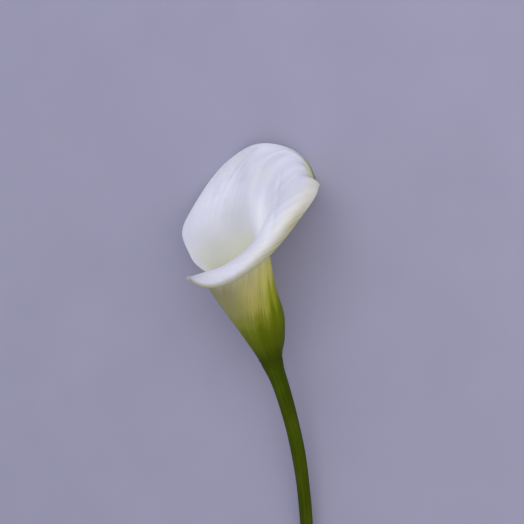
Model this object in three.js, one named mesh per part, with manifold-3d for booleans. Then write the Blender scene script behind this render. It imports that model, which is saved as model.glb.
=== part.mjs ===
// Calla lily: one cut bloom lying on its side. Lengths are millimetres, angles are degrees.
//
// The bloom is first shaped upright. The tube of the spathe stands on +Z and its tip leans out
// over +X. Angles round the tube start at the tip (0), pass -Y (90) and reach the front (180),
// where one edge of the spathe laps over the other. The bloom is then turned and laid down on
// the cut end of its stem and on the rim of its spathe.

import * as THREE from 'three';
import Module from 'manifold-3d';
import { LoftGeometry } from 'three/addons/geometries/LoftGeometry.js';
import { mergeVertices } from 'three/addons/utils/BufferGeometryUtils.js';

// Spathe: a single leaf rolled into a funnel. Each station round the tube has the length of the
// leaf from base to margin, the height where it starts to flare, and its lean at the margin
// (0 is upright, 90 is level, above 90 is rolled back).
const AROUND = [-195, -165, -130, -90, -50, -20, 0, 20, 50, 90, 130, 165, 195];
const LEAF_LENGTH = [68, 74, 80, 110, 131, 134.5, 137, 131, 118.5, 101.5, 98, 81, 74];
const FLARE_START = [62, 59, 55, 58, 57, 59.5, 58.5, 64.5, 64.5, 59.5, 51.5, 54, 57];
const MARGIN_LEAN = [8, 20, 44, 96, 68, 47, 98, 132, 140.5, 167, 152, 96, 86];
const STATION_BLEND = 4;
const FLARE_POWER = 1.66;

// Tube of the spathe, below the flare.
const BASE_RADIUS = 5.7;
const BASE_SWELL = 0.7;
const TUBE_LEAN = 11.7;
const BASE_LEAN_FRONT = 10.5;
const BASE_LEAN_BACK = 36;
const BASE_LEAN_POWER = 1.5;
const BASE_LENGTH = 14;
const BULGE = 2.8;
const BULGE_HEIGHT = 24;
const BULGE_SPREAD = 13;
const BULGE_RISE = 10;

// Lap at the front: how far each edge runs past the front, the share of the height over which it
// closes up, how far the two layers part, and the share across from which they part.
const LAP_BASE = 70;
const LAP_MARGIN = 14;
const LAP_CLOSE = 0.8;
const LAP_SPREAD = 1.5;
const LAP_FROM = 0.3;

// Tip: a short tail at the end of the midrib, drawn in from both sides and curled back.
const TAIL_LENGTH = 17;
const TAIL_WIDTH = 0.045;
const TAIL_POWER = 1.35;
const TAIL_CURL = 85;
const TAIL_PINCH = 0.45;
const PINCH_WIDTH = 0.135;
const PINCH_FROM = 0.72;
const CURL_WIDTH = 0.118;
const CURL_REACH = 24;
const CURL_RUN = 40;

// Blade: full thickness over most of the leaf, thinner at the edges.
const BLADE = 1.3;
const BLADE_EDGE = 0.8;
const EDGE_BAND = 1.6;
const COLUMNS = 54;
const ROWS = 34;
const FINE_STEPS = 4;
const TIP_CROWDING = 0.5;
const ROW_CROWDING = 1.2;

// Stem: a round stalk that curves and sways gently and narrows away from the bloom. Its collar
// swells to meet the spathe, a little to one side.
const STEM_LENGTH = 165;
const STEM_CUT_RADIUS = 4;
const STEM_TAPER = 1.3;
const STEM_TAPER_LENGTH = 38;
const STEM_BEND_RADIUS = 520;
const STEM_START_LEAN = 2.5;
const STEM_START_LENGTH = 10;
const STEM_BEND_SIDE = 204;
const STEM_SIDES = 20;
const STEM_STEPS = 24;
const STEM_CROWDING = 1.35;
const STEM_SWAY = 1.6;
const COLLAR_FLARE = 1.95;
const COLLAR_LENGTH = 12;
const COLLAR_POWER = 1.3;
const COLLAR_SHIFT = 0.5;
const SHIFT_PLACE = 7;
const SHIFT_SPREAD = 8;

// Spadix: the spike of florets inside the spathe, on a short neck that rises from the stem. It
// fills out up to its waist, tapers above and ends in a dome; the shares are of its height.
const NECK_RADIUS = 2.4;
const NECK_HEIGHT = 8;
const SPADIX_HEIGHT = 46;
const SPADIX_RADIUS = 4.3;
const SPADIX_FOOT_RADIUS = 3.1;
const FLORET_ROWS = 15;
const FLORETS_AROUND = 8;
const FLORET_RELIEF = 0.35;
const SPADIX_SIDES = 32;
const SPADIX_STEPS = 46;
const SPADIX_WAIST = 0.35;
const SPADIX_TAPER = 0.18;
const TAPER_FROM = 0.4;
const DOME_FROM = 0.88;
const DOME_END = 0.14;
const RELIEF_FADE = 0.04;
const SEAT_GAP = 0.3;

// Resting pose: turn about the tube, tilt over from upright, and depth of the flats that the
// weight of the bloom presses into its three lowest spots.
const LAY_TURN = 45.52;
const LAY_TILT = 76.59;
const FLAT_DEPTH = 0.4;

const wasm = await Module();
wasm.setup();

const radians = THREE.MathUtils.degToRad;
const { clamp } = THREE.MathUtils;

function ease(t) {
  const x = clamp(t, 0, 1);
  return x * x * (3 - 2 * x);
}

// How far towards the tip side an angle round the tube lies: 1 at the tip, 0 at the front.
function backShare(turn) {
  return 0.5 + 0.5 * Math.cos(radians(turn));
}

// Smooth curve through the stations that never overshoots them.
function stationSlopes(values) {
  const slope = [];
  for (let i = 0; i < AROUND.length - 1; i++) {
    slope.push((values[i + 1] - values[i]) / (AROUND[i + 1] - AROUND[i]));
  }
  const slopes = [slope[0]];
  for (let i = 1; i < slope.length; i++) {
    const product = slope[i - 1] * slope[i];
    slopes.push(product <= 0 ? 0 : (2 * product) / (slope[i - 1] + slope[i]));
  }
  slopes.push(slope[slope.length - 1]);
  return slopes;
}

function stationCurve(values) {
  const slopes = stationSlopes(values);
  const last = AROUND.length - 1;
  return (degrees) => {
    const x = clamp(degrees, AROUND[0], AROUND[last]);
    let i = 0;
    while (i < last - 1 && x > AROUND[i + 1]) i += 1;
    const width = AROUND[i + 1] - AROUND[i];
    const t = (x - AROUND[i]) / width;
    const rise = t * t * (3 - 2 * t);
    const lead = t * (1 - t) * (1 - t) * width * slopes[i];
    const trail = t * t * (t - 1) * width * slopes[i + 1];
    return values[i] * (1 - rise) + values[i + 1] * rise + lead + trail;
  };
}

// The same curve with its corners softened over a few degrees to each side.
function softStations(values) {
  const curve = stationCurve(values);
  return (degrees) => {
    let sum = 0;
    let weights = 0;
    for (let k = -3; k <= 3; k++) {
      const weight = 4 - Math.abs(k);
      sum += weight * curve(degrees + k * STATION_BLEND);
      weights += weight;
    }
    return sum / weights;
  };
}

const leafLength = softStations(LEAF_LENGTH);
const flareStart = softStations(FLARE_START);
const marginLean = softStations(MARGIN_LEAN);

// u runs round the leaf from one lapped edge (-1) over the tip (0) to the other (1).
function turnAt(u, v) {
  const lap = LAP_BASE + (LAP_MARGIN - LAP_BASE) * ease(v / LAP_CLOSE);
  return u * (180 + lap);
}

// One line of the leaf from base to margin: lean, radius and height, summed in fine steps.
function leafLine(u, heights) {
  const margin = turnAt(u, 1);
  const bladeLength = leafLength(margin);
  const tail = TAIL_LENGTH * Math.exp(-((Math.abs(u) / TAIL_WIDTH) ** TAIL_POWER));
  const points = [];
  let radius = BASE_RADIUS + BASE_SWELL * backShare(turnAt(u, 0));
  let height = 0;
  let walked = 0;
  let lean = null;
  const leanAt = (v) => {
    const turn = turnAt(u, v);
    const along = v * (bladeLength + tail);
    const back = backShare(turn) ** BASE_LEAN_POWER;
    const baseLean = BASE_LEAN_FRONT + (BASE_LEAN_BACK - BASE_LEAN_FRONT) * back;
    const start = flareStart(turn);
    const flare = Math.max(0, (along - start) / (bladeLength - start));
    const tube = TUBE_LEAN + (baseLean - TUBE_LEAN) * (1 - ease(along / BASE_LENGTH));
    const limb = (marginLean(turn) - TUBE_LEAN) * Math.min(1, flare) ** FLARE_POWER;
    const reach = ease((along - (bladeLength - CURL_REACH)) / CURL_RUN);
    const curl = TAIL_CURL * Math.exp(-((u / CURL_WIDTH) ** 2)) * reach;
    return radians(tube + limb + curl);
  };
  heights.forEach((v) => {
    const steps = v === 0 ? 0 : FINE_STEPS;
    for (let k = 1; k <= steps; k++) {
      const next = walked + (v - walked) / (steps - k + 1);
      const before = lean ?? leanAt(walked);
      const after = leanAt(next);
      const step = (next - walked) * (bladeLength + tail);
      radius += Math.sin(0.5 * (before + after)) * step;
      height += Math.cos(0.5 * (before + after)) * step;
      lean = after;
      walked = next;
    }
    const turn = turnAt(u, v);
    const along = v * (bladeLength + tail);
    const swell = Math.exp(-(((along - BULGE_HEIGHT) / BULGE_SPREAD) ** 2));
    const bulge = BULGE * backShare(turn) * swell * ease(along / BULGE_RISE);
    const part = LAP_SPREAD * u * ease((Math.abs(u) - LAP_FROM) / (1 - LAP_FROM));
    const drawn = TAIL_PINCH * ease((v - PINCH_FROM) / (1 - PINCH_FROM));
    const pinch = drawn * Math.exp(-((u / PINCH_WIDTH) ** 2));
    const angle = radians(turn * (1 - pinch));
    const r = radius + part + bulge;
    points.push(new THREE.Vector3(Math.cos(angle) * r, -Math.sin(angle) * r, height));
  });
  return points;
}

// Middle surface of the leaf: columns round it, rows from base to margin. The columns crowd
// together near the tip, where the leaf turns most sharply.
function leafGrid() {
  const heights = [];
  for (let j = 0; j <= ROWS; j++) {
    heights.push(1 - (1 - j / ROWS) ** ROW_CROWDING);
  }
  const grid = [];
  for (let i = 0; i <= COLUMNS; i++) {
    const w = (2 * i) / COLUMNS - 1;
    const u = Math.sign(w) * (TIP_CROWDING * Math.abs(w) + (1 - TIP_CROWDING) * w * w);
    grid.push(leafLine(u, heights));
  }
  return grid;
}

// Direction square to the leaf at each crossing of the grid, on the side away from the throat.
function leafNormals(grid) {
  return grid.map((column, i) => column.map((point, j) => {
    const west = grid[Math.max(0, i - 1)][j];
    const east = grid[Math.min(grid.length - 1, i + 1)][j];
    const below = column[Math.max(0, j - 1)];
    const above = column[Math.min(column.length - 1, j + 1)];
    const across = new THREE.Vector3().subVectors(east, west);
    const up = new THREE.Vector3().subVectors(above, below);
    const square = up.cross(across);
    if (j === 0) square.z = 0;
    return square.normalize();
  }));
}

// Thickness of the blade: thins towards the margin and the two lapped edges.
function bladeThickness(grid, i, j) {
  const point = grid[i][j];
  const toEdge = Math.min(
    point.distanceTo(grid[0][j]),
    point.distanceTo(grid[grid.length - 1][j]),
    point.distanceTo(grid[i][grid[i].length - 1]),
  );
  return BLADE_EDGE + (BLADE - BLADE_EDGE) * ease(toEdge / EDGE_BAND);
}

// Closed skin round the leaf: outer face, inner face and a strip along all four edges. Both
// faces are split along the same diagonals, the shorter one of each cell.
function leafGeometry() {
  const grid = leafGrid();
  const normals = leafNormals(grid);
  const columns = grid.length;
  const rows = grid[0].length;
  const positions = [];
  [0.5, -0.5].forEach((side) => {
    grid.forEach((column, i) => column.forEach((point, j) => {
      const half = side * bladeThickness(grid, i, j);
      const corner = point.clone().addScaledVector(normals[i][j], half);
      positions.push(corner.x, corner.y, corner.z);
    }));
  });
  const outer = (i, j) => i * rows + j;
  const inner = (i, j) => columns * rows + i * rows + j;
  const index = [];
  for (let i = 0; i < columns - 1; i++) {
    for (let j = 0; j < rows - 1; j++) {
      const rising = grid[i][j].distanceTo(grid[i + 1][j + 1]);
      const falling = grid[i + 1][j].distanceTo(grid[i][j + 1]);
      const corners = [[i, j], [i, j + 1], [i + 1, j + 1], [i + 1, j]];
      if (falling < rising) corners.push(corners.shift());
      const [a, b, c, d] = corners;
      index.push(outer(...a), outer(...b), outer(...c));
      index.push(outer(...a), outer(...c), outer(...d));
      index.push(inner(...a), inner(...c), inner(...b));
      index.push(inner(...a), inner(...d), inner(...c));
    }
  }
  const strip = (a, b) => {
    index.push(outer(...a), outer(...b), inner(...a));
    index.push(outer(...b), inner(...b), inner(...a));
  };
  for (let i = 0; i < columns - 1; i++) {
    strip([i, 0], [i + 1, 0]);
    strip([i + 1, rows - 1], [i, rows - 1]);
  }
  for (let j = 0; j < rows - 1; j++) {
    strip([0, j + 1], [0, j]);
    strip([columns - 1, j], [columns - 1, j + 1]);
  }
  const geometry = new THREE.BufferGeometry();
  geometry.setAttribute('position', new THREE.Float32BufferAttribute(positions, 3));
  geometry.setIndex(index);
  return geometry;
}

// Ring of points round a centre, square to a direction.
function ring(centre, direction, sides, radiusAt) {
  const side = new THREE.Vector3(0, 1, 0).cross(direction).normalize();
  const other = new THREE.Vector3().crossVectors(direction, side);
  const points = [];
  for (let k = 0; k < sides; k++) {
    const angle = (2 * Math.PI * k) / sides;
    const r = radiusAt(angle);
    const point = centre.clone();
    point.addScaledVector(side, Math.cos(angle) * r);
    point.addScaledVector(other, Math.sin(angle) * r);
    points.push(point);
  }
  return points;
}

// Stem: rings down a curve that leaves the base of the spathe square and bends to one side.
function stemGeometry() {
  const side = radians(STEM_BEND_SIDE);
  const bend = new THREE.Vector3(Math.cos(side), -Math.sin(side), 0);
  const directionAt = (along) => {
    const start = radians(STEM_START_LEAN) * ease(along / STEM_START_LENGTH);
    const swept = start + along / STEM_BEND_RADIUS;
    return new THREE.Vector3(0, 0, Math.cos(swept)).addScaledVector(bend, -Math.sin(swept));
  };
  const asideAt = (along) => {
    const share = along / STEM_LENGTH;
    const shift = COLLAR_SHIFT * Math.exp(-(((along - SHIFT_PLACE) / SHIFT_SPREAD) ** 2));
    return shift - STEM_SWAY * Math.sin(2 * Math.PI * share) * share;
  };
  const radiusAt = (along) => {
    const collar = COLLAR_FLARE * Math.exp(-((along / COLLAR_LENGTH) ** COLLAR_POWER));
    return STEM_CUT_RADIUS + STEM_TAPER * Math.exp(-along / STEM_TAPER_LENGTH) + collar;
  };
  const placeAt = (k) => STEM_LENGTH * (k / STEM_STEPS) ** STEM_CROWDING;
  const centre = new THREE.Vector3(0, 0, -SEAT_GAP);
  const sections = [];
  for (let k = 0; k <= STEM_STEPS; k++) {
    const along = placeAt(k);
    if (k > 0) {
      const before = placeAt(k - 1);
      centre.addScaledVector(directionAt(0.5 * (before + along)), before - along);
    }
    const place = centre.clone().addScaledVector(bend, asideAt(along));
    sections.unshift(ring(place, directionAt(along), STEM_SIDES, () => radiusAt(along)));
  }
  const up = new THREE.Vector3(0, 0, 1);
  sections.push(ring(new THREE.Vector3(0, 0, -SEAT_GAP), up, STEM_SIDES, () => NECK_RADIUS));
  sections.push(ring(new THREE.Vector3(0, 0, NECK_HEIGHT), up, STEM_SIDES, () => NECK_RADIUS));
  return new LoftGeometry(sections, { closed: true, capStart: true, capEnd: true });
}

// Spadix: a blunt spike whose florets stand out as rounded bumps in two crossing spirals.
function spadixGeometry() {
  const foot = NECK_HEIGHT + SEAT_GAP;
  const up = new THREE.Vector3(0, 0, 1);
  const sections = [];
  for (let k = 0; k <= SPADIX_STEPS; k++) {
    const t = k / SPADIX_STEPS;
    const filled = ease(t / SPADIX_WAIST);
    const body = SPADIX_FOOT_RADIUS + (SPADIX_RADIUS - SPADIX_FOOT_RADIUS) * filled;
    const domed = Math.max(0, (t - DOME_FROM) / (1 - DOME_FROM));
    const dome = Math.sqrt(Math.max(DOME_END ** 2, 1 - domed ** 2));
    const taper = 1 - SPADIX_TAPER * ease((t - TAPER_FROM) / (1 - TAPER_FROM));
    const shape = body * dome * taper;
    const fade = ease(t / RELIEF_FADE) * ease((1 - t) / RELIEF_FADE);
    const radiusAt = (angle) => {
      const rise = Math.PI * FLORET_ROWS * t;
      const left = Math.cos(0.5 * FLORETS_AROUND * angle + rise);
      const right = Math.cos(0.5 * FLORETS_AROUND * angle - rise);
      return shape + FLORET_RELIEF * fade * (left * left + right * right - 1);
    };
    const centre = new THREE.Vector3(0, 0, foot + SPADIX_HEIGHT * t);
    sections.push(ring(centre, up, SPADIX_SIDES, radiusAt));
  }
  return new LoftGeometry(sections, { closed: true, capStart: true, capEnd: true });
}

function toSolid(geometry) {
  const bare = new THREE.BufferGeometry();
  bare.setAttribute('position', geometry.attributes.position);
  bare.setIndex(geometry.index);
  const merged = mergeVertices(bare, 1e-4);
  return new wasm.Manifold(new wasm.Mesh({
    numProp: 3,
    vertProperties: new Float32Array(merged.attributes.position.array),
    triVerts: new Uint32Array(merged.index.array),
  }));
}

function fromSolid(solid) {
  const mesh = solid.getMesh();
  const geometry = new THREE.BufferGeometry();
  geometry.setAttribute('position', new THREE.Float32BufferAttribute(mesh.vertProperties, 3));
  geometry.setIndex(new THREE.Uint32BufferAttribute(mesh.triVerts, 1));
  geometry.computeVertexNormals();
  return geometry;
}

// Everything below the surface is cut off flat.
function restOnSurface(geometry) {
  const below = new THREE.BoxGeometry(800, 800, 100);
  below.translate(0, 0, -50);
  return fromSolid(toSolid(geometry).subtract(toSolid(below)));
}

const pieces = [
  ['stem', stemGeometry(), { color: '#4a5c12', roughness: 0.6, metalness: 0 }],
  ['spadix', spadixGeometry(), { color: '#e8b62a', roughness: 0.85, metalness: 0 }],
  ['spathe', leafGeometry(), { color: '#eceaf2', roughness: 0.5, metalness: 0 }],
];

// Lay the bloom down and centre it over the origin, standing FLAT_DEPTH into the surface.
const lay = new THREE.Matrix4().makeRotationX(-radians(LAY_TILT));
lay.multiply(new THREE.Matrix4().makeRotationZ(radians(LAY_TURN)));
const bounds = new THREE.Box3();
pieces.forEach(([, geometry]) => {
  geometry.applyMatrix4(lay);
  bounds.union(new THREE.Box3().setFromBufferAttribute(geometry.attributes.position));
});
const centre = bounds.getCenter(new THREE.Vector3());

const flower = new THREE.Group();
flower.name = 'calla_lily';
pieces.forEach(([name, geometry, finish]) => {
  geometry.translate(-centre.x, -centre.y, -bounds.min.z - FLAT_DEPTH);
  const mesh = new THREE.Mesh(restOnSurface(geometry), new THREE.MeshStandardMaterial(finish));
  mesh.name = name;
  flower.add(mesh);
});

export default flower;
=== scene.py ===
"""A cut calla lily lying on its side: leaf-like spathe, spike of florets and stem.

Sizes in the classes are millimetres and degrees, in the upright frame of the bloom: the tube of
the spathe stands on +Z, its tip leans out over +X, and angles round the tube start at the tip.
RestingPose lays the bloom down in metres where the solid model lies.
"""
import logging
from dataclasses import dataclass
from enum import Enum
from functools import reduce
from math import cos, pi, radians, sin

import bpy
import numpy as np
from mathutils import Matrix, Vector


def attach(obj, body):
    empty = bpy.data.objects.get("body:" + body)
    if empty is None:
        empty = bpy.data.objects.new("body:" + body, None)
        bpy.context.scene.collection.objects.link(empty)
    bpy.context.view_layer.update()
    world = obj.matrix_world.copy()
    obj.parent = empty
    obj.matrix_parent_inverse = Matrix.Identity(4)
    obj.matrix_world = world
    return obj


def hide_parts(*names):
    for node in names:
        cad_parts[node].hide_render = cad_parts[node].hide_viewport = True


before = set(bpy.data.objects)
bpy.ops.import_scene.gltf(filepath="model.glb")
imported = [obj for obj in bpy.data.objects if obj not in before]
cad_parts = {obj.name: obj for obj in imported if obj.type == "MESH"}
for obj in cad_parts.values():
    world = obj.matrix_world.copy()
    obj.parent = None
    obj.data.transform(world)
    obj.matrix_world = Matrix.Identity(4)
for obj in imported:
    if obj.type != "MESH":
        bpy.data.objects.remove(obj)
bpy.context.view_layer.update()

Array = np.ndarray
Socket = bpy.types.NodeSocket
Colour = tuple[float, float, float, float]
Edge = tuple[float, float]
Rows = tuple[tuple[float, int, int, int], ...]
Faces = list[tuple[int, ...]]
Surface = tuple[Socket, Socket, Socket]

MM = 0.001
BODY = "root"
LOG = logging.getLogger("calla_lily")


class Face(Enum):
    """The two faces of the spathe, by the side of the leaf they lie on."""

    OUTER = 0.5
    INNER = -0.5


def ease(t: Array) -> Array:
    """Return t held between 0 and 1 and eased at both ends."""
    held = np.clip(t, 0.0, 1.0)
    return held * held * (3.0 - 2.0 * held)


def fade(x: Array, nothing: float, full: float) -> Array:
    """Return 0 where x is at nothing and 1 where it is at full, eased in between."""
    return ease((x - nothing) / (full - nothing))


def tint(red: int, green: int, blue: int) -> Colour:
    """Turn a screen colour, 0 to 255 each, into the linear colour that shaders take."""
    linear = [((c / 255 + 0.055) / 1.055) ** 2.4 if c > 10 else c / 3295 for c in (red, green, blue)]
    return (linear[0], linear[1], linear[2], 1.0)


@dataclass(frozen=True)
class Ripple:
    """An uneven wave: a few plain waves of random phase, the same on every run.

    Attributes:
        slowest: Waves in one unit of the coordinate, for the broadest of them.
        fastest: The same for the finest.
        parts: How many plain waves are summed.
        seed: Seed of the random phases.
        stray: How far a wave may be off its even place between the two, as a share.
    """

    slowest: float
    fastest: float
    parts: int
    seed: int
    stray: float = 0.07

    def at(self, x: Array) -> Array:
        """Work out the wave, with a height of about 1.

        Args:
            x: Where the wave is wanted.

        Returns:
            Its height at each x.
        """
        draw = np.random.default_rng(self.seed)
        counts = np.linspace(self.slowest, self.fastest, self.parts)
        counts = counts * draw.uniform(1.0 - self.stray, 1.0 + self.stray, self.parts)
        phases = draw.uniform(0.0, 2.0 * pi, self.parts)
        total = sum(np.cos(2.0 * pi * n * x + p) for n, p in zip(counts, phases))
        return total * np.sqrt(2.0 / self.parts)


@dataclass(frozen=True)
class Patch:
    """A patch of the leaf with soft edges.

    Each edge is a pair: where the patch is nothing, and where it is full. All of them hold at once.

    Attributes:
        share: Strength of the patch where it is full.
        across: Edges across the leaf, which runs from -1 to 1.
        along: Edges up the leaf, in millimetres.
        gap: Edges by the distance from the margin, in millimetres.
    """

    share: float = 1.0
    across: tuple[Edge, ...] = ()
    along: tuple[Edge, ...] = ()
    gap: tuple[Edge, ...] = ()

    def at(self, **places: Array) -> Array:
        """Find the strength of the patch.

        Args:
            **places: The leaf's coordinates by name.

        Returns:
            The strength at each place.
        """
        strength = self.share
        for label, edges in (("across", self.across), ("along", self.along), ("gap", self.gap)):
            for nothing, full in edges:
                strength = strength * fade(places[label], nothing, full)
        return strength


@dataclass(frozen=True)
class Bell:
    """A soft bump: its height, its middle and the width over which it dies away to both sides."""

    height: float
    middle: float
    width: float

    def at(self, x: Array) -> Array:
        """Return the bump's height at each x."""
        return self.height * np.exp(-(((x - self.middle) / self.width) ** 2))


@dataclass(frozen=True)
class RestingPose:
    """Lays the upright bloom down on its stem end and its rim.

    Attributes:
        turn: Turn about the tube before it is tilted over.
        tilt: How far the tube is tilted over from upright.
        foot: Where the foot of the spathe then lies.
    """

    turn: float = 45.52
    tilt: float = 76.59
    foot: tuple[float, float, float] = (-12.1282, 15.6335, 29.2976)

    def matrix(self) -> Array:
        """Return the turn and tilt as a 3 by 3 array."""
        tilted = Matrix.Rotation(-radians(self.tilt), 3, "X") @ Matrix.Rotation(radians(self.turn), 3, "Z")
        return np.array(tilted)

    def lay(self, points: Array) -> Array:
        """Lay points of the bloom down, with the flats that rest on the surface.

        Args:
            points: Upright points in millimetres, any shape ending in 3.

        Returns:
            The points in metres, none of them below the surface.
        """
        laid = (points @ self.matrix().T + np.array(self.foot)) * MM
        laid[..., 2] = np.maximum(laid[..., 2], 0.0)
        return laid


@dataclass(frozen=True)
class Skin:
    """Vertices, faces and surface values of one piece, before it becomes a mesh."""

    points: Array
    faces: Faces
    values: dict[str, Array]

    def build(self, name: str, material: bpy.types.Material) -> bpy.types.Object:
        """Make the piece, smooth shaded and dressed.

        Args:
            name: Name of the piece.
            material: Its finish.

        Returns:
            The new object, linked to the scene.
        """
        mesh = bpy.data.meshes.new(name)
        mesh.from_pydata(self.points.tolist(), [], self.faces)
        for label, amounts in self.values.items():
            layer = mesh.attributes.new(label, "FLOAT", "POINT")
            layer.data.foreach_set("value", amounts.astype(np.float32))
        mesh.shade_smooth()
        mesh.materials.append(material)
        mesh.update()
        piece = bpy.data.objects.new(name, mesh)
        bpy.context.scene.collection.objects.link(piece)
        return piece


def sheet_faces(columns: int, rows: int, start: int = 0, closed: bool = False) -> Faces:
    """List the quads of a grid of points stored column by column.

    Args:
        columns: Columns of points.
        rows: Points in each column.
        start: Index of the first point.
        closed: Whether the last column joins the first.

    Returns:
        The quads, with their front on the side where columns run east and rows run up.
    """
    east = np.arange(columns if closed else columns - 1)
    up = np.arange(rows - 1)
    first = start + east[:, None] * rows + up[None, :]
    second = start + ((east + 1) % columns)[:, None] * rows + up[None, :]
    quads = np.stack([first, second, second + 1, first + 1], axis=-1).reshape(-1, 4)
    return [tuple(quad) for quad in quads.tolist()]


def rod_faces(sides: int, rows: int) -> Faces:
    """Close a round piece: its skin, and a fan at each end to two points stored after its rings.

    Args:
        sides: Points round the piece.
        rows: Points along each side.

    Returns:
        The quads of the skin, then the triangles of the two fans.
    """
    faces = sheet_faces(sides, rows, closed=True)
    foot = sides * rows
    for k in range(sides):
        here = k * rows
        after = (k + 1) % sides * rows
        faces.append((foot, after, here))
        faces.append((foot + 1, here + rows - 1, after + rows - 1))
    return faces


class Wiring:
    """Adds shader nodes to one tree and joins their sockets."""

    def __init__(self, tree: bpy.types.NodeTree) -> None:
        """Start on a tree."""
        self.tree = tree

    def node(self, kind: str, feeds: dict | None = None, **options: object) -> bpy.types.Node:
        """Add one node.

        Args:
            kind: Its type, without the ShaderNode that all of them share.
            feeds: What feeds its inputs, each by its name or number.
            **options: Properties to set on it.

        Returns:
            The new node.
        """
        made = self.tree.nodes.new("ShaderNode" + kind)
        for option, value in options.items():
            setattr(made, option, value)
        for place, value in (feeds or {}).items():
            self.feed(made.inputs[place], value)
        return made

    def feed(self, socket: Socket, value: object) -> None:
        """Link an output to a socket, or set the socket to a constant.

        Args:
            socket: The input to feed.
            value: An output socket, a number or a colour.
        """
        if isinstance(value, bpy.types.NodeSocket):
            self.tree.links.new(value, socket)
        else:
            socket.default_value = value

    def math(self, operation: str, first: object, second: object) -> Socket:
        """Do one sum, named as the node names it, on numbers or outputs."""
        return self.node("Math", {0: first, 1: second}, operation=operation).outputs[0]

    def plus(self, first: object, second: object) -> Socket:
        """Add two numbers or outputs."""
        return self.math("ADD", first, second)

    def minus(self, first: object, second: object) -> Socket:
        """Take the second from the first."""
        return self.math("SUBTRACT", first, second)

    def times(self, first: object, second: object) -> Socket:
        """Multiply two numbers or outputs."""
        return self.math("MULTIPLY", first, second)

    def over(self, first: object, second: object) -> Socket:
        """Divide the first by the second."""
        return self.math("DIVIDE", first, second)

    def weigh(self, *parts: tuple[Socket, float]) -> Socket:
        """Add up outputs, each times its weight."""
        return reduce(self.plus, [self.times(output, weight) for output, weight in parts])

    def span(self, value: object, low: object, high: object, to: Edge = (0.0, 1.0)) -> Socket:
        """Ease a value that runs from low to high over to the range of to, held at both ends."""
        feeds = {"Value": value, "From Min": low, "From Max": high, "To Min": to[0], "To Max": to[1]}
        return self.node("MapRange", feeds, interpolation_type="SMOOTHSTEP").outputs[0]

    def blend(self, share: object, first: object, second: object) -> Socket:
        """Mix two colours, with a share of the second from 0 to 1."""
        feeds = {0: share, 6: first, 7: second}
        return self.node("Mix", feeds, data_type="RGBA", clamp_result=True).outputs[2]

    def ramp(self, position: object, stops: dict[float, Colour]) -> Socket:
        """Run through a row of colours.

        Args:
            position: Where in the row, 0 to 1.
            stops: The colour at each place, from the lowest up.

        Returns:
            The colour at the position.
        """
        made = self.node("ValToRGB", {0: position})
        row = made.color_ramp
        row.interpolation = "EASE"
        places = list(stops)
        row.elements[0].position = places[0]
        row.elements[1].position = places[-1]
        for place in places[1:-1]:
            row.elements.new(place)
        for element, colour in zip(row.elements, stops.values()):
            element.color = colour
        return made.outputs[0]

    def value(self, label: str) -> Socket:
        """Read one of the surface values that a piece carries."""
        return self.node("Attribute", attribute_name=label).outputs["Fac"]

    def bump(self, height: object, distance: float) -> Socket:
        """Turn a height of 0 to 1 into a normal, where 1 stands out by a distance in millimetres."""
        return self.node("Bump", {"Distance": distance * MM, "Height": height}).outputs["Normal"]


class Effect:
    """A shader node group that several finishes share, built once."""

    label = ""
    inputs: tuple[tuple[str, float], ...] = ()
    output = ""

    def wire(self, wiring: Wiring, given: dict[str, Socket]) -> Socket:
        """Wire the inside of the group.

        Args:
            wiring: The group's tree.
            given: The group's inputs by name.

        Returns:
            What the group puts out.
        """
        raise NotImplementedError

    def tree(self) -> bpy.types.NodeTree:
        """Make the group on first use.

        Returns:
            The group.
        """
        known = bpy.data.node_groups.get(self.label)
        if known is not None:
            return known
        tree = bpy.data.node_groups.new(self.label, "ShaderNodeTree")
        for name, amount in self.inputs:
            socket = tree.interface.new_socket(name, in_out="INPUT", socket_type="NodeSocketFloat")
            socket.default_value = amount
        tree.interface.new_socket(self.output, in_out="OUTPUT", socket_type="NodeSocketFloat")
        wiring = Wiring(tree)
        entry = tree.nodes.new("NodeGroupInput")
        result = self.wire(wiring, {name: entry.outputs[name] for name, _ in self.inputs})
        wiring.feed(tree.nodes.new("NodeGroupOutput").inputs[0], result)
        return tree

    def place(self, wiring: Wiring, **amounts: object) -> Socket:
        """Put the group into a material's tree, each input fed by its name in small letters."""
        feeds = {name.capitalize(): amount for name, amount in amounts.items()}
        return wiring.node("Group", feeds, node_tree=self.tree()).outputs[0]


class Streaks(Effect):
    """Soft streaks that run lengthwise, as plant fibres and veins do."""

    label = "lengthwise_streaks"
    inputs = (("Around", 0.0), ("Along", 0.0), ("Count", 40.0), ("Length", 60.0), ("Seed", 0.0))
    output = "Mask"

    def wire(self, wiring: Wiring, given: dict[str, Socket]) -> Socket:
        """Wire a noise that is drawn out along the piece.

        Args:
            wiring: The group's tree.
            given: The group's inputs by name.

        Returns:
            The streaks, 0 to 1.
        """
        place = wiring.node("CombineXYZ", {
            "X": wiring.times(given["Around"], given["Count"]),
            "Y": wiring.over(given["Along"], given["Length"]),
            "Z": given["Seed"],
        })
        drawn = {"Vector": place.outputs[0], "Scale": 1.0, "Detail": 3.0, "Roughness": 0.55}
        return wiring.span(wiring.node("TexNoise", drawn).outputs["Fac"], 0.3, 0.7)


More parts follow.
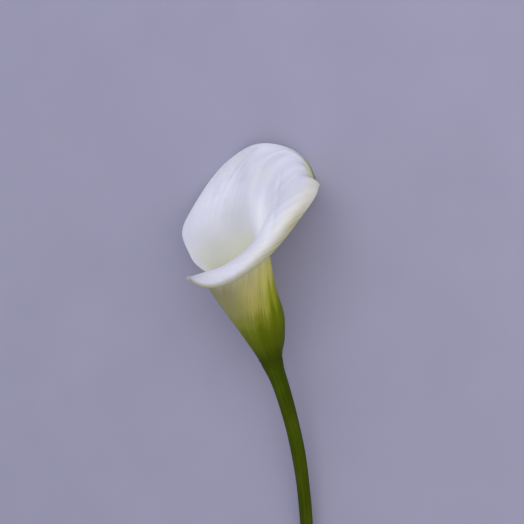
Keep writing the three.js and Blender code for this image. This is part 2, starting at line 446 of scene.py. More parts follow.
class CellGrain(Effect):
    """The fine swollen cells of a plant's skin."""

    label = "cell_grain"
    inputs = (("Size", 0.3), ("Evenness", 0.5))
    output = "Height"
    noise_share = 0.37

    def wire(self, wiring: Wiring, given: dict[str, Socket]) -> Socket:
        """Wire rounded cells of a given size in millimetres.

        Args:
            wiring: The group's tree.
            given: The group's inputs by name.

        Returns:
            The height of the cells, 0 to 1.
        """
        scale = wiring.over(1.0 / MM, given["Size"])
        place = wiring.node("TexCoord").outputs["Object"]
        cells = wiring.node("TexVoronoi", {"Vector": place, "Scale": scale}, feature="SMOOTH_F1")
        noise = wiring.node("TexNoise", {"Vector": place, "Scale": wiring.times(scale, self.noise_share)})
        domes = wiring.minus(1.0, cells.outputs["Distance"])
        even = wiring.times(domes, given["Evenness"])
        rest = wiring.minus(1.0, given["Evenness"])
        return wiring.plus(even, wiring.times(noise.outputs["Fac"], rest))


class Mottle(Effect):
    """Broad soft patches where a colour is a little stronger or weaker."""

    label = "soft_mottle"
    inputs = (("Size", 10.0), ("Low", 0.35), ("High", 0.65))
    output = "Mask"

    def wire(self, wiring: Wiring, given: dict[str, Socket]) -> Socket:
        """Wire patches of a given size in millimetres.

        Args:
            wiring: The group's tree.
            given: The group's inputs by name.

        Returns:
            The patches, 0 to 1.
        """
        place = wiring.node("TexCoord").outputs["Object"]
        scale = wiring.over(1.0 / MM, given["Size"])
        noise = wiring.node("TexNoise", {"Vector": place, "Scale": scale, "Detail": 2.0})
        return wiring.span(noise.outputs["Fac"], given["Low"], given["High"])


@dataclass(frozen=True)
class Finish:
    """Base of every finish: a material with one shader, wired by the finish's own method."""

    label: str = "finish"
    roughness: float = 0.5
    gloss: float = 0.5
    scatter: float = 0.0
    depth: float = 1.0
    glow: tuple[float, float, float] = (1.0, 1.0, 1.0)

    def material(self) -> bpy.types.Material:
        """Make the material.

        Returns:
            The material, with its colour, roughness and relief wired.
        """
        made = bpy.data.materials.new(self.label)
        made.use_nodes = True
        made.node_tree.nodes.clear()
        wiring = Wiring(made.node_tree)
        colour, rough, normal = self.wire(wiring)
        feeds = {"Base Color": colour, "Roughness": rough, "Normal": normal}
        feeds["Specular IOR Level"] = self.gloss
        if self.scatter > 0.0:
            feeds["Subsurface Weight"] = self.scatter
            feeds["Subsurface Radius"] = self.glow
            feeds["Subsurface Scale"] = self.depth * MM
        # Painted glow: emission that stands in for light coming through from behind.
        light = self.light(wiring, colour)
        if light is not None:
            feeds["Emission Strength"] = 1.0
            feeds["Emission Color"] = light
        shader = wiring.node("BsdfPrincipled", feeds)
        wiring.node("OutputMaterial", {0: shader.outputs[0]})
        return made

    def light(self, wiring: Wiring, colour: Socket) -> Socket | None:
        """Return a painted glow, emission that stands in for light coming through from behind: none, unless
        the finish says so.
        """
        return None

    def wire(self, wiring: Wiring) -> Surface:
        """Wire colour, roughness and relief.

        Args:
            wiring: The material's tree.

        Returns:
            Outputs for the colour, the roughness and the normal.
        """
        raise NotImplementedError


@dataclass(frozen=True)
class PetalFinish(Finish):
    """Satin white of the spathe, green at its foot and cream on its way up.

    Rows give colours up the leaf: the height, then red, green and blue. Zones say where something
    gives way to the next thing, going round the outside or up the leaf, lifts say how far the
    fibres carry the green higher, and shares say how strongly a mark shows.
    """

    label: str = "spathe_satin"
    roughness: float = 0.55
    gloss: float = 0.05
    scatter: float = 0.4
    depth: float = 1.1
    glow: tuple[float, float, float] = (1.0, 1.0, 0.8)
    reach: float = 140.0
    # The front's row is darker from 30 to 66 mm partly as painted shade where the tube turns away; its
    # greens are its own.
    outer_front_and_shade: Rows = (
        (0.0, 62, 76, 5), (14.0, 99, 111, 18), (22.0, 116, 125, 28),
        (30.0, 141, 146, 62), (40.0, 158, 156, 98), (52.0, 163, 158, 112),
        (66.0, 200, 197, 168), (84.0, 230, 230, 222), (104.0, 240, 240, 242),
    )
    outer_side: Rows = (
        (0.0, 60, 74, 2), (14.0, 88, 99, 3), (22.0, 98, 108, 8),
        (30.0, 130, 135, 32), (40.0, 181, 173, 88), (52.0, 198, 190, 123),
        (66.0, 214, 210, 166), (84.0, 236, 235, 222), (104.0, 240, 240, 242),
    )
    outer_back: Rows = (
        (0.0, 58, 72, 3), (14.0, 87, 100, 9), (28.0, 106, 120, 8), (42.0, 160, 166, 36),
        (56.0, 214, 208, 112), (70.0, 228, 222, 166), (88.0, 236, 235, 222), (110.0, 240, 240, 242),
    )
    inner: Rows = (
        (0.0, 120, 134, 30), (20.0, 176, 184, 84), (38.0, 208, 211, 140), (54.0, 226, 228, 184),
        (70.0, 236, 236, 212), (86.0, 241, 241, 245), (110.0, 244, 244, 254),
    )
    side_zone: Edge = (0.05, 0.42)
    back_zone: Edge = (0.44, 0.8)
    streak_zone: Edge = (0.1, 0.6)
    fibre_lift: Edge = (3.0, 8.0)
    thread_lift: Edge = (2.0, 6.5)
    edge_zone: Edge = (0.84, 0.95)
    edge_lift: float = 6.0
    white_zone: Edge = (55.0, 100.0)
    fibre_share: float = 0.16
    patch_share: float = 0.1
    fine_share: float = 0.1
    furrow_shade_share: Edge = (0.08, 0.3)
    rim_share: Edge = (0.82, 1.12)
    rough_play: float = 0.12
    line_zone: Edge = (74.0, 108.0)
    line_share: Edge = (0.08, 0.8)
    grain_share: float = 0.25
    relief: float = 0.035
    vein: Colour = tint(211, 214, 236)
    # Painted highlight: whiter patches where the inside should catch more light.
    furrow_shade: Colour = tint(186, 188, 204)
    # Painted shade along shallow furrows of the inner wall.
    pale: Colour = tint(248, 249, 255)
    # Painted shade: greyer where the throat's wall lies in shadow, and behind the fold.
    hollow: Colour = tint(202, 204, 196)
    # Painted shade: greyer toward the margin of the rolled near side, where it turns away from the light.
    under: Colour = tint(206, 207, 216)
    cream: Colour = tint(250, 248, 190)
    # The margin's olive tint, darkened as painted shade where the rolled margin curls away from the light.
    rim: Colour = tint(167, 162, 120)
    tip: Colour = tint(222, 228, 160)
    # The tail's own green end, and painted shade in the fold beside the tail.
    tip_end: Colour = tint(112, 124, 58)

    def rows(self, wiring: Wiring, along: Socket, rows: Rows) -> Socket:
        """Run a row of colours up the leaf."""
        scaled = {height / self.reach: tint(*screen) for height, *screen in rows}
        return wiring.ramp(wiring.over(along, self.reach), scaled)

    def light(self, wiring: Wiring, colour: Socket) -> Socket:
        """Return the painted glow on the inside: emission that stands in for light coming through the
        blade.
        """
        inside = wiring.minus(1.0, wiring.value("outside"))
        return wiring.blend(wiring.times(wiring.value("through"), inside), tint(0, 0, 0), colour)

    def outer(self, wiring: Wiring, along: Socket, fibres: Socket, fine: Socket) -> Socket:
        """Colour the outside, where fibres carry the green of the foot higher in places.

        Args:
            wiring: The material's tree.
            along: Millimetres up the leaf.
            fibres: The broad fibres, 0 to 1.
            fine: The fine ones.

        Returns:
            The colour.
        """
        back = wiring.value("back")
        lift = wiring.span(back, *self.edge_zone, (0.0, self.edge_lift))
        for mask, reach in ((fibres, self.fibre_lift), (fine, self.thread_lift)):
            carried = wiring.span(back, *self.streak_zone, reach)
            lift = wiring.plus(lift, wiring.times(wiring.minus(mask, 0.5), carried))
        shifted = wiring.minus(along, lift)
        colour = self.rows(wiring, shifted, self.outer_front_and_shade)
        for zone, rows in ((self.side_zone, self.outer_side), (self.back_zone, self.outer_back)):
            colour = wiring.blend(wiring.span(back, *zone), colour, self.rows(wiring, shifted, rows))
        return colour

    def wire(self, wiring: Wiring) -> Surface:
        """Wire the petal.

        Args:
            wiring: The material's tree.

        Returns:
            Outputs for the colour, the roughness and the normal.
        """
        along = wiring.value("along")
        run = {"around": wiring.value("vein_line"), "along": along}
        fibres = Streaks().place(wiring, **run, count=12.0, length=110.0)
        fine = Streaks().place(wiring, **run, count=64.0, length=80.0, seed=7.0)
        furrow_shading = Streaks().place(wiring, **run, count=10.0, length=38.0, seed=5.0)
        patches = Mottle().place(wiring, size=16.0)

        outer = self.outer(wiring, along, fibres, fine)
        # The pale mask whitens the inside as painted highlight.
        inner = wiring.blend(wiring.value("pale"), self.rows(wiring, along, self.inner), self.pale)
        colour = wiring.blend(wiring.value("outside"), inner, outer)
        parts = ((fibres, self.fibre_share), (patches, self.patch_share), (fine, self.fine_share))
        streaked = wiring.weigh(*parts)
        streaked = wiring.times(streaked, wiring.span(along, *self.white_zone))
        colour = wiring.blend(streaked, colour, self.vein)
        # Painted shade: darker streaks along the furrows of the inner wall.
        furrow_shading = wiring.times(wiring.span(furrow_shading, 0.2, 1.0), wiring.value("wall"))
        furrow_shading = wiring.times(furrow_shading, wiring.span(patches, 0.0, 1.0, self.furrow_shade_share))
        colour = wiring.blend(furrow_shading, colour, self.furrow_shade)
        # Among these, hollow and under are painted shade, the margin's band is its tint with painted shade,
        # and the tail's end mark also holds painted shade in the fold.
        marks = ("hollow", "under", "cream", "rim", "tip", "tip_end")
        shares = {label: wiring.value(label) for label in marks}
        shares["rim"] = wiring.times(shares["rim"], wiring.span(fine, 0.0, 1.0, self.rim_share))
        for label, share in shares.items():
            colour = wiring.blend(share, colour, getattr(self, label))

        grain = CellGrain().place(wiring, size=0.35)
        rough = wiring.plus(self.roughness - 0.5 * self.rough_play, wiring.times(fine, self.rough_play))
        lines = wiring.times(fine, wiring.span(along, *self.line_zone, self.line_share))
        height = wiring.plus(wiring.times(grain, self.grain_share), lines)
        return colour, rough, wiring.bump(height, self.relief)


@dataclass(frozen=True)
class StalkFinish(Finish):
    """Deep green skin of the stem, with paler fibres, and the wet pith of its cut end."""

    label: str = "stem_green"
    roughness: float = 0.5
    gloss: float = 0.05
    cell: float = 0.7
    fibre_share: float = 0.45
    patch_share: float = 0.3
    fine_share: float = 0.15
    dark_top: float = 10.0
    top_share: float = 0.4
    rough_play: Edge = (-0.05, 0.1)
    grain_share: float = 0.2
    relief: float = 0.08
    deep: Colour = tint(52, 66, 0)
    fresh: Colour = tint(84, 100, 6)
    pith: Colour = tint(196, 204, 140)
    canal: Colour = tint(120, 134, 62)

    def wire(self, wiring: Wiring) -> Surface:
        """Wire the stem.

        Args:
            wiring: The material's tree.

        Returns:
            Outputs for the colour, the roughness and the normal.
        """
        along = wiring.value("along")
        run = {"around": wiring.value("around"), "along": along}
        fibres = Streaks().place(wiring, **run, count=24.0, length=70.0, seed=3.0)
        fine = Streaks().place(wiring, **run, count=90.0, length=40.0, seed=11.0)
        patches = Mottle().place(wiring, size=22.0)

        parts = ((fibres, self.fibre_share), (patches, self.patch_share), (fine, self.fine_share))
        top = wiring.span(along, 0.0, self.dark_top, (self.top_share, 1.0))
        share = wiring.times(wiring.weigh(*parts), top)
        skin = wiring.blend(share, self.deep, self.fresh)
        place = wiring.node("TexCoord").outputs["Object"]
        cells = wiring.node("TexVoronoi", {"Vector": place, "Scale": 1.0 / (self.cell * MM)}, feature="F1")
        inside = wiring.blend(wiring.span(cells.outputs["Distance"], 0.45, 0.15), self.pith, self.canal)
        colour = wiring.blend(wiring.value("cut"), skin, inside)

        grain = CellGrain().place(wiring, size=0.25)
        smooth, rugged = self.rough_play
        rough = wiring.plus(self.roughness + smooth, wiring.times(fine, rugged - smooth))
        height = wiring.plus(wiring.times(grain, self.grain_share), fine)
        return colour, rough, wiring.bump(height, self.relief)


@dataclass(frozen=True)
class FloretFinish(Finish):
    """Powdery yellow florets over a paler, greenish foot."""

    label: str = "floret_yellow"
    roughness: float = 0.85
    gloss: float = 0.25
    scatter: float = 0.5
    depth: float = 0.5
    glow: tuple[float, float, float] = (1.0, 0.7, 0.2)
    ripe: Colour = tint(240, 196, 58)
    gap: Colour = tint(176, 124, 18)
    young: Colour = tint(214, 218, 128)
    young_gap: Colour = tint(136, 150, 48)
    patch_share: float = 0.18
    rough_play: Edge = (-0.1, 0.08)
    relief: float = 0.06

    def wire(self, wiring: Wiring) -> Surface:
        """Wire the florets.

        Args:
            wiring: The material's tree.

        Returns:
            Outputs for the colour, the roughness and the normal.
        """
        crown = wiring.span(wiring.value("crown"), 0.1, 0.9)
        upper = wiring.blend(crown, self.gap, self.ripe)
        lower = wiring.blend(crown, self.young_gap, self.young)
        colour = wiring.blend(wiring.value("foot"), upper, lower)
        patches = Mottle().place(wiring, size=5.0)
        colour = wiring.blend(wiring.times(patches, self.patch_share), colour, self.young)
        grain = CellGrain().place(wiring, size=0.18, evenness=0.8)
        smooth, rugged = self.rough_play
        rough = wiring.span(grain, 0.0, 1.0, (self.roughness + smooth, self.roughness + rugged))
        return colour, rough, wiring.bump(grain, self.relief)


@dataclass(frozen=True)
class FloorFinish(Finish):
    """Plain matt paper with a faint tooth."""

    label: str = "floor_paper"
    roughness: float = 0.9
    gloss: float = 0.2
    paper: Colour = tint(172, 170, 190)
    shade: Colour = tint(168, 166, 186)
    rough_play: float = 0.04
    tooth: float = 0.05

    def wire(self, wiring: Wiring) -> Surface:
        """Wire the paper.

        Args:
            wiring: The material's tree.

        Returns:
            Outputs for the colour, the roughness and the normal.
        """
        patches = Mottle().place(wiring, size=60.0, low=0.2, high=0.8)
        tooth = CellGrain().place(wiring, size=1.2, evenness=0.2)
        colour = wiring.blend(patches, self.paper, self.shade)
        edges = (self.roughness - self.rough_play, self.roughness + self.rough_play)
        return colour, wiring.span(tooth, 0.0, 1.0, edges), wiring.bump(tooth, self.tooth)


@dataclass(frozen=True)
class Stations:
    """A size of the leaf, set at stations round the tube and joined smoothly.

    Attributes:
        values: The size at each station.
        degrees: Where the stations are; the tip is at 0 and the front at 180.
        blend: How far one softening step reaches to both sides.
        steps: How many such steps soften each corner.
    """

    values: tuple[float, ...]
    degrees: tuple[float, ...] = (-195, -165, -130, -90, -50, -20, 0, 20, 50, 90, 130, 165, 195)
    blend: float = 4.0
    steps: int = 3

    def slopes(self) -> Array:
        """Find slopes that keep the curve from overshooting.

        Returns:
            The slope at each station.
        """
        steps = np.diff(self.values) / np.diff(self.degrees)
        product = steps[:-1] * steps[1:]
        total = np.where(product > 0.0, steps[:-1] + steps[1:], 1.0)
        middle = np.where(product > 0.0, 2.0 * product / total, 0.0)
        return np.concatenate([steps[:1], middle, steps[-1:]])

    def sharp(self, turn: Array) -> Array:
        """Follow the curve through the stations.

        Args:
            turn: Angles round the tube.

        Returns:
            The size at each angle.
        """
        places = np.array(self.degrees, float)
        values = np.array(self.values, float)
        slopes = self.slopes()
        x = np.clip(turn, places[0], places[-1])
        i = np.clip(np.searchsorted(places, x) - 1, 0, len(places) - 2)
        width = places[i + 1] - places[i]
        t = (x - places[i]) / width
        lead = t * (1.0 - t) ** 2 * width * slopes[i]
        trail = t * t * (t - 1.0) * width * slopes[i + 1]
        return values[i] * (1.0 - ease(t)) + values[i + 1] * ease(t) + lead + trail

    def at(self, turn: Array) -> Array:
        """Follow the curve with its corners softened.

        Args:
            turn: Angles round the tube.

        Returns:
            The size at each angle.
        """
        steps = range(-self.steps, self.steps + 1)
        weights = [self.steps + 1 - abs(k) for k in steps]
        total = sum(w * self.sharp(turn + k * self.blend) for w, k in zip(weights, steps))
        return total / sum(weights)


@dataclass(frozen=True)
class PetalMarks:
    """Where the colours of the spathe lie on the leaf.

    The margin's band, partly its own olive tint and partly painted shade where it curls away, has its
    edges in shares of its own width. It starts faint and grows across the leaf, and its line, a painted
    shadow under the rolled side, and its end stand beside it. The tip's patch starts lower past its
    drop. The tail's end keeps its green, and painted shade lies in the fold beside it.
    """

    rim_reach: float = 7.3
    rim_narrowing: float = 4.3
    rim_narrows: Edge = (0.38, 0.74)
    rim_unevenness: float = 0.03
    rim_wave: Ripple = Ripple(8.0, 26.0, 5, 3)
    rim_start: float = 0.12
    rim_growth: Patch = Patch(0.84, across=((0.14, 0.34),))
    rim_band: Patch = Patch(across=((0.02, 0.12), (0.86, 0.8)), gap=((1.0, 0.0),))
    # A painted shadow line under the margin of the rolled near side.
    rim_shadow_line: Patch = Patch(0.35, across=((0.09, 0.11), (0.86, 0.8)), gap=((2.0, 0.0),))
    rim_end: Patch = Patch(0.45, across=((0.8, 0.87),))
    cream: Patch = Patch(0.4, across=((0.035, 0.065), (0.58, 0.46)), gap=((12.0, 5.5),))
    cream_loss: Patch = Patch(0.4, across=((0.3, 0.4),))
    # Painted shade toward the margin of the rolled near side.
    under: Patch = Patch(0.45, across=((0.5, 0.62),), gap=((9.0, 0.0),))
    # Painted highlights: whiter patches on the rolled side's crown, beside the fold and at the far margin.
    pale: tuple[Patch, ...] = (
        Patch(across=((0.04, 0.14), (0.78, 0.68)), gap=((5.0, 11.0),)),
        Patch(across=((-0.14, -0.02), (0.4, 0.3)), along=((102.0, 88.0),)),
        Patch(across=((-0.1, -0.22),), along=((100.0, 112.0),)),
        Patch(across=((-0.62, -0.72),), along=((56.0, 64.0),)),
    )
    # Painted glow, given as emission, where light would come through the thin blade.
    through: tuple[Patch, ...] = (
        Patch(0.17, across=((-0.13, 0.0), (0.45, 0.3)), along=((108.0, 84.0),)),
        Patch(0.08, across=((-0.1, -0.4),), along=((90.0, 116.0),)),
    )
    # Painted shade in the hollow of the throat and behind the fold, by place round and up the leaf.
    hollow: tuple[tuple[Bell, Bell], ...] = (
        (Bell(0.62, -0.46, 0.2), Bell(1.0, 76.0, 16.0)),
        (Bell(0.42, -0.23, 0.1), Bell(1.0, 86.0, 12.0)),
        (Bell(0.36, -0.05, 0.07), Bell(1.0, 113.0, 11.0)),
    )
    # Where the painted shade of the furrows shows on the inner wall.
    wall: Patch = Patch(across=((-0.42, -0.3), (0.02, -0.04)), along=((86.0, 100.0),))
    tip: Patch = Patch(0.7, across=((-0.05, -0.005), (0.085, 0.05)), along=((134.0, 142.0),))
    tip_drop: Patch = Patch(6.0, across=((-0.02, 0.02),))
    tail_stain: Bell = Bell(1.0, 0.0, 0.045)
    tail_zone: Edge = (0.93, 0.98)
    # Painted shade in the fold between the tail and the lobe.
    fold_shade: Bell = Bell(0.8, 0.072, 0.011)
    fold_zone: Edge = (0.93, 0.96)

    def values(self, across: Array, along: Array, up: Array, gap: Array) -> dict[str, Array]:
        """Work out the strength of each colour over the leaf.

        Args:
            across: Places across the leaf, -1 to 1.
            along: Millimetres up the leaf.
            up: The same as a share of its length.
            gap: Millimetres to the margin.

        Returns:
            The strengths by name.
        """
        places = {"across": across, "along": along, "gap": gap}
        width = self.rim_reach - self.rim_narrowing * fade(across, *self.rim_narrows)
        width = width * (1.0 + self.rim_unevenness * self.rim_wave.at(across))
        band = self.rim_band.at(across=across, gap=gap / width)
        band = band * (self.rim_start + self.rim_growth.at(across=across))
        tail = self.tail_stain.at(across) * fade(up, *self.tail_zone)
        in_fold = self.fold_shade.at(across) * fade(up, *self.fold_zone)
        return {
            "rim": np.maximum.reduce([band, self.rim_shadow_line.at(**places), self.rim_end.at(**places)]),
            "cream": self.cream.at(**places) * (1.0 - self.cream_loss.at(**places)),
            "under": self.under.at(**places),
            "pale": np.maximum.reduce([patch.at(**places) for patch in self.pale]),
            "through": sum(patch.at(**places) for patch in self.through),
            "hollow": sum(round_it.at(across) * up_it.at(along) for round_it, up_it in self.hollow),
            "wall": self.wall.at(**places),
            "tip": self.tip.at(across=across, along=along + self.tip_drop.at(across=across)),
            "tip_end": np.maximum(tail, in_fold),
        }


@dataclass
class Spathe:
    """The single white leaf rolled into a funnel round the spike of florets."""

    name: str = "spathe_leaf"
    finish: Finish = PetalFinish()
    marks: PetalMarks = PetalMarks()
    length: Stations = Stations((68, 74, 80, 110, 131, 134.5, 137, 131, 118.5, 101.5, 98, 81, 74))
    flare_start: Stations = Stations((62, 59, 55, 58, 57, 59.5, 58.5, 64.5, 64.5, 59.5, 51.5, 54, 57))
    margin_lean: Stations = Stations((8, 20, 44, 96, 68, 47, 98, 132, 140.5, 167, 152, 96, 86))
    flare_power: float = 1.66

    base_radius: float = 5.7
    base_swell: float = 0.7
    tube_lean: float = 11.7
    base_lean_front: float = 10.5
    base_lean_back: float = 36.0
    base_length: float = 14.0
    base_power: float = 1.5
    bulge: Bell = Bell(2.8, 24.0, 13.0)
    bulge_start: float = 10.0
    lap_base: float = 70.0
    lap_margin: float = 14.0
    lap_height: float = 0.8
    lap_spread: float = 1.5
    lap_start: float = 0.3

    tail_length: float = 17.0
    tail_width: float = 0.045
    tail_power: float = 1.35
    tail_curl: Bell = Bell(85.0, 0.0, 0.118)
    tail_pinch: Bell = Bell(0.45, 0.0, 0.135)
    pinch_zone: Edge = (0.72, 1.0)
    curl_reach: float = 24.0
    curl_run: float = 40.0

    blade: float = 1.3
    blade_edge: float = 0.8
    edge_band: float = 1.6
    edge_round: float = 0.45
    edge_flat: float = 0.02
    columns: int = 330
    rows: int = 122
    fine_steps: int = 3
    tip_crowding: float = 0.5
    margin_crowding: float = 1.2
    edge_crowding: tuple[float, ...] = (0.0003, 0.001, 0.0025)

    vein_sweep: float = 0.83
    sweep_tilt: float = 0.08
    sweep_turn: float = 0.1
    pleat: float = 0.1
    pleat_wave: Ripple = Ripple(4.0, 9.0, 5, 5)
    pleat_zone: Patch = Patch(across=((-0.75, -0.35),), along=((76.0, 108.0),))
    pleat_settle: float = 0.1
    margin_pleat: float = 0.35
    calm: Bell = Bell(0.65, -0.04, 0.15)
    calm_zone: Edge = (0.7, 0.9)
    vein: float = 0.008
    vein_wave: Ripple = Ripple(17.0, 29.0, 5, 9)
    vein_zone: Edge = (6.0, 26.0)
    vein_end: float = 2.0
    inner_veins: float = 0.6
    rib: float = 0.05
    rib_zone: Patch = Patch(across=((0.03, 0.11),), along=((70.0, 95.0),))
    crease_width: float = 1.8
    crease_height: float = 98.5
    crease_rise: float = 23.0
    crease_bend: float = 0.06
    crease_zone: Patch = Patch(0.5, across=((-0.01, 0.05), (0.5, 0.38)))
    fold: Patch = Patch(2.6, across=((-0.035, 0.065), (0.098, 0.072)))
    fold_start: Edge = (0.86, 0.96)
    lobe: Bell = Bell(1.2, 0.11, 0.02)
    shoulder: Bell = Bell(1.5, -0.038, 0.032)
    ruffle: float = 0.1
    ruffle_wave: Ripple = Ripple(6.0, 17.0, 6, 13)
    ruffle_zone: Patch = Patch(across=((0.02, 0.12), (0.7, 0.55)))
    ruffle_reach: float = 9.0
    foot_reach: float = 0.4
    foot_reach_length: float = 2.4
    foot_flare: float = 0.05

    def turn_at(self, u: Array, v: Array) -> Array:
        """Return the angle round the tube at u, -1 and 1 at the lapped edges, and height v."""
        return u * (180.0 + self.lap_base + (self.lap_margin - self.lap_base) * ease(v / self.lap_height))

    @staticmethod
    def back_at(turn: Array) -> Array:
        """Return how near an angle round the tube is to the side of the tip: 1 there, 0 at the front."""
        return 0.5 + 0.5 * np.cos(np.radians(turn))

    def spacing(self) -> tuple[Array, Array]:
        """Set out the grid of the leaf, closer at the edges so that they can be rounded.

        Returns:
            Places across the leaf, -1 to 1, and places up it, 0 to 1.
        """
        crowd = np.array(self.edge_crowding)
        w = np.linspace(-1.0, 1.0, self.columns + 1)
        w = np.sort(np.concatenate([w, 1.0 - crowd, crowd - 1.0]))
        u = np.sign(w) * (self.tip_crowding * np.abs(w) + (1.0 - self.tip_crowding) * w * w)
        v = 1.0 - (1.0 - np.linspace(0.0, 1.0, self.rows + 1)) ** self.margin_crowding
        v = np.sort(np.concatenate([v, 1.0 - crowd, crowd]))
        return u, v

    def lean_at(self, u: Array, v: float, size: Array, tail: Array) -> Array:
        """Work out how far the leaf leans outward.

        Args:
            u: Places across the leaf.
            v: Place up the leaf.
            size: Length of the blade at each place across.
            tail: What the tail adds to it.

        Returns:
            The lean in radians.
        """
        turn = self.turn_at(u, v)
        along = v * (size + tail)
        steeper = (self.base_lean_back - self.base_lean_front) * self.back_at(turn) ** self.base_power
        base = self.base_lean_front + steeper
        start = self.flare_start.at(turn)
        flare = np.clip((along - start) / (size - start), 0.0, 1.0)
        tube = self.tube_lean + (base - self.tube_lean) * (1.0 - ease(along / self.base_length))
        limb = (self.margin_lean.at(turn) - self.tube_lean) * flare ** self.flare_power
        reach = ease((along - (size - self.curl_reach)) / self.curl_run)
        return np.radians(tube + limb + self.tail_curl.at(u) * reach)

    def middle(self, u: Array, v: Array) -> tuple[Array, Array]:
        """Shape the middle of the leaf's thickness.

        Args:
            u: Places across the leaf.
            v: Places up the leaf.

        Returns:
            The points, and the millimetres up the leaf at each.
        """
        size = self.length.at(self.turn_at(u, 1.0))
        tail = self.tail_length * np.exp(-((np.abs(u) / self.tail_width) ** self.tail_power))
        radius = self.base_radius + self.base_swell * self.back_at(self.turn_at(u, 0.0))
        height = np.zeros_like(u)
        lean = self.lean_at(u, 0.0, size, tail)
        walked = 0.0
        points = []
        alongs = []
        for target in v:
            steps = 0 if target == 0.0 else self.fine_steps
            for k in range(1, steps + 1):
                reached = walked + (target - walked) / (steps - k + 1)
                after = self.lean_at(u, reached, size, tail)
                step = (reached - walked) * (size + tail)
                radius = radius + np.sin(0.5 * (lean + after)) * step
                height = height + np.cos(0.5 * (lean + after)) * step
                lean = after
                walked = reached
            turn = self.turn_at(u, target)
            along = target * (size + tail)
            bulge = self.bulge.at(along) * self.back_at(turn) * ease(along / self.bulge_start)
            part = self.lap_spread * u * fade(np.abs(u), self.lap_start, 1.0)
            pinch = self.tail_pinch.at(u) * fade(target, *self.pinch_zone)
            angle = np.radians(turn * (1.0 - pinch))
            drawn = self.drawn_in(u) * fade(target, *self.fold_start)
            r = radius + part + bulge - drawn
            points.append(np.stack([np.cos(angle) * r, -np.sin(angle) * r, height], axis=-1))
            alongs.append(along)
        return np.stack(points, axis=1), np.stack(alongs, axis=1)

    def drawn_in(self, u: Array) -> Array:
        """Return how far the margin is drawn in beside the tip, or stands out to either side."""
        return self.fold.at(across=u) - self.lobe.at(u) - self.shoulder.at(u)

    def crease(self, u: Array, along: Array) -> Array:
        """Return how far the leaf sinks at the soft crease where the near side rolls over."""
        middle = self.crease_height + self.crease_rise * np.exp(-np.maximum(u, 0.0) / self.crease_bend)
        return self.crease_zone.at(across=u) * np.exp(-(((along - middle) / self.crease_width) ** 2))

    def relief(self, places: dict[str, Array], up: Array, vein_line: Array) -> Array:
        """Raise the pleats, the crease and the ruffles of the margin.

        Args:
            places: The leaf's coordinates by name.
            up: Places up the leaf, 0 to 1.
            vein_line: Which vein runs through each place.

        Returns:
            How far the leaf is pushed away from the throat.
        """
        across = places["across"]
        run_out = ease((1.0 - up) / self.pleat_settle + self.margin_pleat)
        calmed = self.calm.at(across) * fade(up, *self.calm_zone)
        pleats = self.pleat_wave.at(vein_line) * self.pleat_zone.at(**places) * run_out * (1.0 - calmed)
        ruffles = self.ruffle_wave.at(across) * ease(1.0 - places["gap"] / self.ruffle_reach)
        ruffles = ruffles * self.ruffle_zone.at(across=across)
        return self.pleat * pleats + self.ruffle * ruffles + self.crease(across, places["along"])

    def veins(self, places: dict[str, Array], vein_line: Array) -> Array:
        """Return how far the veins stand out; on the rolled side they are stronger ribs."""
        height = self.vein + (self.rib - self.vein) * self.rib_zone.at(**places)
        return height * self.vein_wave.at(vein_line) * fade(places["along"], *self.vein_zone)

    def thickness(self, to_edge: Array) -> Array:
        """Thin the leaf toward its edges, which are round.

        Args:
            to_edge: Distance from the nearest edge.

        Returns:
            The thickness at each place.
        """
        blade = self.blade_edge + (self.blade - self.blade_edge) * ease(to_edge / self.edge_band)
        rounding = 1.0 - (1.0 - np.clip(to_edge / self.edge_round, 0.0, 1.0)) ** 2
        return blade * np.sqrt(self.edge_flat + (1.0 - self.edge_flat) * rounding)

    @staticmethod
    def squares(points: Array) -> Array:
        """Find the direction square to the leaf, away from the throat.

        Args:
            points: The middle of the leaf.

        Returns:
            A unit direction at each point.
        """
        square = np.cross(np.gradient(points, axis=1), np.gradient(points, axis=0))
        square[:, 0, 2] = 0.0
        return square / np.linalg.norm(square, axis=-1, keepdims=True)

    def skin(self, pose: RestingPose) -> Skin:
        """Build both faces of the leaf with its pleats, veins and rounded edges.

        Args:
            pose: How the bloom lies.

        Returns:
            The closed skin of the leaf.
        """
        u, v = self.spacing()
        points, along = self.middle(u, v)
        square = self.squares(points)
        across = np.repeat(u[:, None], len(v), axis=1)
        up = np.repeat(v[None, :], len(u), axis=0)
        sweep = self.vein_sweep - self.sweep_tilt * np.tanh(across / self.sweep_turn)
        vein_line = across / (1.0 - sweep * up ** 2)
        gap = np.linalg.norm(points - points[:, -1:], axis=-1)
        places = {"across": across, "along": along, "gap": gap}
        points = points + square * self.relief(places, up, vein_line)[..., None]
        foot = 1.0 - ease(along / self.foot_reach_length)
        points[..., 2] -= self.foot_reach * foot
        points[..., :2] *= 1.0 + self.foot_flare * foot[..., None]

        ends = (points[:1], points[-1:], points[:, -1:])
        gaps = [np.linalg.norm(points - end, axis=-1) for end in ends]
        to_edge = np.minimum.reduce(gaps)
        thick = self.thickness(to_edge)
        veins = self.veins(places, vein_line) * ease(to_edge / self.vein_end)
        shells = []
        for face, height in ((Face.OUTER, 1.0), (Face.INNER, -self.inner_veins)):
            offset = face.value * thick + height * veins
            shells.append((points + square * offset[..., None]).reshape(-1, 3))
        columns, rows = along.shape
        faces = sheet_faces(columns, rows)
        faces += [tuple(reversed(quad)) for quad in sheet_faces(columns, rows, columns * rows)]
        faces += self.edge_faces(columns, rows)

        values = {"along": along, "vein_line": vein_line, "back": self.back_at(self.turn_at(across, up))}
        values |= self.marks.values(across, along, up, gaps[-1])
        doubled = {label: np.tile(amounts.reshape(-1), 2) for label, amounts in values.items()}
        doubled["outside"] = np.repeat([1.0, 0.0], columns * rows)
        return Skin(pose.lay(np.concatenate(shells)), faces, doubled)

